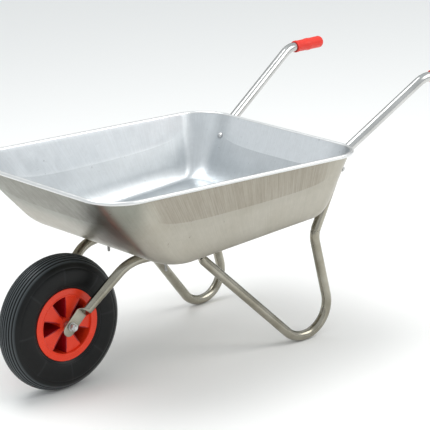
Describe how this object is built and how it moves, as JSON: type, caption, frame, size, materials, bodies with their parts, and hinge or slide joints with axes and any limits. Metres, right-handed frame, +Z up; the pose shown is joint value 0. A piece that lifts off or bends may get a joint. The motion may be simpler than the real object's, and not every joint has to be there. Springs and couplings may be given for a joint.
{
  "type": "wheelbarrow",
  "caption": "Garden wheelbarrow with a deep pressed tray, bent tube frame with built-in legs and handles, and a pneumatic front wheel.",
  "frame": {"origin": "on the ground, under the middle of the barrow's overall length and width", "axes": "+X forward from the handles to the wheel, +Y to the left-hand side, +Z up"},
  "size_m": [1.4192, 0.6912, 0.684],
  "materials": {
    "tray_steel": "hot-dip galvanised sheet, satin with fine spangle and vertical draw marks",
    "tube_steel": "galvanised tube, semi-gloss",
    "zinc_fastener": "zinc plated",
    "red_plastic": "moulded polypropylene, semi-gloss",
    "red_grip": "soft moulded vinyl",
    "tyre_rubber": "ribbed tyre rubber",
    "tube_rubber": "smooth rubber"
  },
  "bodies": {
    "frame": {"tray": "tray_steel", "handle_leg_tube_left": "tube_steel", "handle_leg_tube_right": "tube_steel", "fork_tube_left": "tube_steel", "fork_tube_right": "tube_steel", "grip_left": "red_grip", "grip_right": "red_grip", "axle_stud": "zinc_fastener", "axle_spacer_left": "zinc_fastener", "axle_spacer_right": "zinc_fastener", "axle_washer_left": "zinc_fastener", "axle_washer_right": "zinc_fastener", "axle_nut_left": "zinc_fastener", "axle_nut_right": "zinc_fastener", "front_tray_bolt_left": "zinc_fastener", "front_tray_bolt_right": "zinc_fastener", "front_tray_washer_left": "zinc_fastener", "front_tray_washer_right": "zinc_fastener", "front_tray_nut_left": "zinc_fastener", "front_tray_nut_right": "zinc_fastener", "leg_joint_bolt_left": "zinc_fastener", "leg_joint_bolt_right": "zinc_fastener", "leg_joint_washer_left": "zinc_fastener", "leg_joint_washer_right": "zinc_fastener", "leg_joint_nut_left": "zinc_fastener", "leg_joint_nut_right": "zinc_fastener", "rear_tray_bolt_left": "zinc_fastener", "rear_tray_bolt_right": "zinc_fastener", "rear_tray_washer_left": "zinc_fastener", "rear_tray_washer_right": "zinc_fastener", "rear_tray_nut_left": "zinc_fastener", "rear_tray_nut_right": "zinc_fastener"},
    "wheel": {"tyre": "tyre_rubber", "inner_tube": "tube_rubber", "rim": "red_plastic", "hub_bush_left": "red_plastic", "hub_bush_right": "red_plastic", "valve_stem": "tube_rubber", "valve_cap": "tube_rubber"}
  },
  "joints": [
    {"name": "wheel_spin", "type": "hinge", "parent": "frame", "child": "wheel", "pos_m": [0.52465, 0, 0.185], "axis": [0, 1, 0], "continuous": true}
  ]
}
